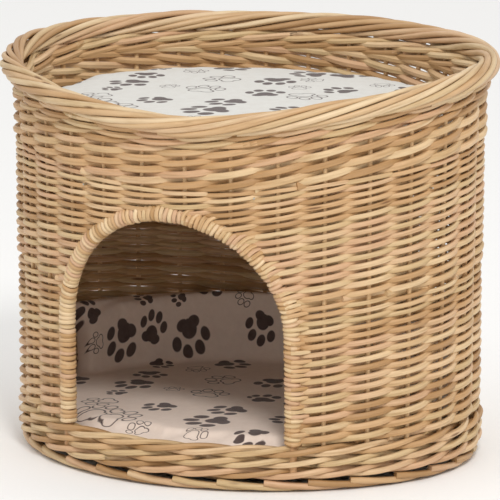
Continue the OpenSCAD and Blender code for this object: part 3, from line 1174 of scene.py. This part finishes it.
def coordinates(mesh: bpy.types.Mesh) -> np.ndarray:
    """A mesh's points, one a row."""
    flat = np.empty(len(mesh.vertices) * 3, np.float32)
    mesh.vertices.foreach_get("co", flat)
    return flat.reshape(-1, 3).astype(float)


def set_coordinates(mesh: bpy.types.Mesh, points: np.ndarray) -> None:
    """Writes a mesh's points."""
    mesh.vertices.foreach_set("co", points.astype(np.float32).ravel())
    mesh.update()


CLOTH_FRAMES = 20
CLOTH_SETTINGS = {"quality": 6, "mass": 0.3, "tension_stiffness": 12.0,
                  "compression_stiffness": 12.0, "shear_stiffness": 6.0, "bending_stiffness": 0.4,
                  "use_pressure": True}


def inflate(piece: Object, pressure: float, cap: float) -> None:
    """Fills a closed cover by cloth simulation.

    Args:
        piece: the cover.
        pressure: how hard the filling pushes.
        cap: furthest that a point may move, in metres.
    """
    before = coordinates(piece.data)
    modifier = piece.modifiers.new("Cloth", "CLOTH")
    for name, value in CLOTH_SETTINGS.items():
        setattr(modifier.settings, name, value)
    modifier.settings.uniform_pressure_force = pressure
    modifier.settings.effector_weights.gravity = 0
    modifier.point_cache.frame_start = 1
    modifier.point_cache.frame_end = CLOTH_FRAMES
    for number in range(1, CLOTH_FRAMES + 1):
        bpy.context.scene.frame_set(number)
    graph = bpy.context.evaluated_depsgraph_get()
    after = coordinates(piece.evaluated_get(graph).data)
    step = after - before
    far = np.linalg.norm(step, axis=1, keepdims=True)
    step *= np.minimum(1.0, cap / np.maximum(far, 1e-9))
    piece.modifiers.remove(modifier)
    set_coordinates(piece.data, before + step)
    bpy.context.scene.frame_set(1)


@dataclass
class Cushion:
    """A stuffed cushion in a cover of printed linen."""

    name: str
    cover: str
    filling: str
    body: Body
    fill: float
    voxel: float = 5.0
    inset: float = 2.5
    cap: float = 6.0
    pressure: float = 4.0
    lump: float = 1.2
    cloth: PrintedLinen = LINEN

    def shaped(self) -> Object:
        """The cover's start: the frame node's outer skin, rounded and a little smaller."""
        piece = outer_shell(self.cover, self.name)
        apply_modifier(piece, "REMESH", mode="VOXEL", voxel_size=self.voxel * MM)
        apply_modifier(piece, "SMOOTH", factor=0.5, iterations=14)
        return piece

    def lumps(self, points: np.ndarray) -> np.ndarray:
        """How uneven the filling leaves each point, in metres."""
        return self.lump * MM * np.array([
            noise.noise(Vector(p) * 14) + 0.5 * noise.noise(Vector(p) * 34) for p in points])

    def build(self) -> Object:
        """Fills the cover, lays the print on it and puts it in place."""
        piece = self.shaped()
        inflate(piece, self.pressure, self.cap * MM)
        points = coordinates(piece.data)
        normals = np.empty(len(points) * 3, np.float32)
        piece.data.vertices.foreach_get("normal", normals)
        points += normals.reshape(-1, 3) * self.lumps(points)[:, None]
        set_coordinates(piece.data, self.kept_in(points))
        apply_modifier(piece, "SUBSURF", levels=1, render_levels=1)
        set_coordinates(piece.data, self.kept_in(coordinates(piece.data)))
        self.lay_cloth(piece)
        piece.data.materials.append(finish_of(self.cloth))
        select_only(piece)
        bpy.ops.object.shade_smooth()
        settle_in(piece, self.body, Slot.LINEN, self.cover, self.filling)
        return piece

    def kept_in(self, points: np.ndarray) -> np.ndarray:
        """Keeps points above what the cushion rests on.

        Args:
            points: points of the cover, which are changed.

        Returns:
            The same points.
        """
        low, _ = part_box(self.cover)
        points[:, 2] = np.maximum(points[:, 2], low.z)
        return points

    def lay_cloth(self, piece: Object) -> None:
        """Gives the cover a UV map in metres, flat on the top and unrolled down its sides.

        Args:
            piece: the cover.
        """
        points = coordinates(piece.data)
        uv = self.flat_place(points)
        layer = piece.data.uv_layers.new(name="cloth")
        index = np.empty(len(piece.data.loops), np.int32)
        piece.data.loops.foreach_get("vertex_index", index)
        layer.data.foreach_set("uv", uv[index].astype(np.float32).ravel())

    def flat_place(self, points: np.ndarray) -> np.ndarray:
        """Unrolls the cover.

        Args:
            points: points of the cover.

        Returns:
            Where each lies on the flat cloth.
        """
        out = points[:, :2] / np.array([PLAN.length, PLAN.depth]) ** 2
        out /= np.linalg.norm(out, axis=1, keepdims=True) + 1e-9
        return points[:, :2] + out * np.abs(points[:, 2] - self.level(points))[:, None]

    def level(self, points: np.ndarray) -> float:
        """Height of the part of the cover that the cloth lies flat on."""
        return points[:, 2].max()


@dataclass
class FloorCushion(Cushion):
    """The lower cushion, whose back edge turns up against the wall."""

    floor_t: float = 26.0

    def level(self, points: np.ndarray) -> float:
        """The floor part lies flat, with its sides and its turned-up edge unrolled round it."""
        low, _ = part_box(self.cover)
        return low.z + self.floor_t * MM


# ---- the frame's own nodes


@dataclass
class FramePieces:
    """Frame nodes whose shape is right as it is: they get their real finish."""

    upright: tuple[str, ...] = ("wall_stakes", "arch_stakes", "sill_stakes")
    lengthways: tuple[str, ...] = ("base_sticks_long", "deck_sticks_long", "door_hoop", "deck_hoop")
    crossways: tuple[str, ...] = ("base_sticks_short", "deck_sticks_short")
    nails: tuple[str, ...] = ("deck_nails",)

    def dress(self) -> None:
        """Gives each node its material, with the grain along its sticks."""
        along_z = StickFinish("buff_stakes_upright", light="#DFBE90", dark="#BC9260")
        along_x = StickFinish("buff_sticks_lengthways", stretch=(0.12, 1.0, 1.0))
        along_y = StickFinish("buff_sticks_crossways", stretch=(1.0, 0.12, 1.0))
        for nodes, finish in ((self.upright, along_z), (self.lengthways, along_x),
                              (self.crossways, along_y), (self.nails, NAILS)):
            for node in nodes:
                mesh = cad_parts[node].data
                mesh.materials.clear()
                mesh.materials.append(finish_of(finish))
                LOG.info("%s: kept from the frame, dressed as %s", node, finish.name)


# ---- camera, floor and lights


@dataclass
class Studio:
    """A pale floor, soft light and the camera."""

    azimuth: float = 24.3
    elevation: float = 11.5
    distance: float = 4.962
    target: tuple[float, float, float] = (0.0, 0.0, 0.2)
    lens_mm: float = 344.376
    sensor_mm: float = 36.0
    shift: tuple[float, float] = (0.002, 0.011)
    far: float = 100.0
    floor_size: float = 12.0
    floor_z: float = -0.0003        # just under the feet
    floor_tones: tuple[str, str] = ("#F2F1EF", "#F4F3F1")
    sky: str = "#FFFFFF"
    sky_strength: float = 0.92
    key_place: tuple[float, float, float] = (1.7, -2.45, 2.9)
    key_size: float = 0.9
    key_power: float = 69.0

    def build_camera(self) -> None:
        """Makes the camera and aims it."""
        a, e = math.radians(self.azimuth), math.radians(self.elevation)
        back = Vector((math.sin(a) * math.cos(e), -math.cos(a) * math.cos(e), math.sin(e)))
        data = bpy.data.cameras.new("camera")
        data.sensor_width = self.sensor_mm
        data.lens = self.lens_mm
        data.shift_x, data.shift_y = self.shift
        data.clip_end = self.far
        camera = bpy.data.objects.new("camera", data)
        camera.location = Vector(self.target) + back * self.distance
        camera.rotation_mode = "QUATERNION"
        camera.rotation_quaternion = (-back).to_track_quat("-Z", "Y")
        bpy.context.scene.collection.objects.link(camera)
        bpy.context.scene.camera = camera

    def build_floor(self) -> None:
        """Makes the floor, of matt pale paper."""
        bpy.ops.object.select_all(action="DESELECT")
        bpy.ops.mesh.primitive_plane_add(size=self.floor_size, location=(0, 0, self.floor_z))
        floor = bpy.context.object
        floor.name = "studio_floor"
        material, tree, shader = blank_material("studio_paper")
        tooth = noise_at(tree, object_place(tree), 300.0, 2.0)
        colour = ramp(tree, tooth, list(zip((0.3, 0.7), self.floor_tones)))
        tree.links.new(colour, shader.inputs["Base Color"])
        shader.inputs["Roughness"].default_value = 0.95
        floor.data.materials.append(material)

    def build_key_light(self) -> None:
        """Adds a soft area light aimed at the bed."""
        data = bpy.data.lights.new("key", "AREA")
        data.shape = "DISK"
        data.size = self.key_size
        data.energy = self.key_power
        light = bpy.data.objects.new("key", data)
        light.location = self.key_place
        aim = Vector(self.target) - Vector(self.key_place)
        light.rotation_mode = "QUATERNION"
        light.rotation_quaternion = aim.to_track_quat("-Z", "Y")
        bpy.context.scene.collection.objects.link(light)

    def build(self) -> None:
        """Makes everything that isn't part of the bed."""
        self.build_camera()
        self.build_floor()
        world = bpy.data.worlds.new("studio")
        bpy.context.scene.world = world
        world.use_nodes = True
        background = world.node_tree.nodes["Background"]
        background.inputs["Color"].default_value = linear(self.sky)
        background.inputs["Strength"].default_value = self.sky_strength
        self.build_key_light()
        bpy.context.scene.view_settings.view_transform = "Standard"
        LOG.info("studio ready")


# ---- the whole bed


def main() -> None:
    """Builds the studio and the bed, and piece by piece."""
    logging.basicConfig(level=logging.INFO, format="%(name)s: %(message)s", stream=sys.stdout)
    Studio().build()
    FramePieces().dress()
    FootBorder().build()
    WovenMat("floor_weaving", "base_weave", (7.0, 19.0), -25.2, SEED + 1).build()
    Wale("bottom_wale_rods", "bottom_wale", 14.0, 3, 11.2, 6.3, SEED + 2).build()
    RandingBand("lower_randing", "weave_band_lower", 47.0, 202.0, 33, 7.1, 4.7, SEED + 3).build()
    RandingBand("middle_randing", "weave_band_middle", 200.5, 328.0, 30, 6.3, 4.5, SEED + 4).build()
    RandingBand("upper_randing", "weave_band_upper", 326.0, 380.0, 9, 7.8, 7.0, SEED + 5,
                squeeze=(0.72, 0.82)).build()
    Wale("rim_wale_rods", "rim_wale", 377.0, 2, 8.0, 6.4, SEED + 6).build()
    RolledBorder().build()
    DoorwayBinding().build()
    WovenMat("deck_weaving", "deck_weave", (306.0, 318.0), -16.5, SEED + 7).build()
    Cushion("upper_cushion", "upper_cushion_cover", "upper_cushion_filling", Body.CUSHION,
            0.6).build()
    # The lower cushion's warmer linen colour is painted warm bounce light; its fabric is the same
    # as the upper cushion's.
    FloorCushion("lower_cushion", "lower_cushion_cover", "lower_cushion_filling", Body.BASKET, 0.4,
                 voxel=4.5, cap=5.0, cloth=LINEN_PAINTED_WARM_BOUNCE).build()


if __name__ == "__main__":
    main()
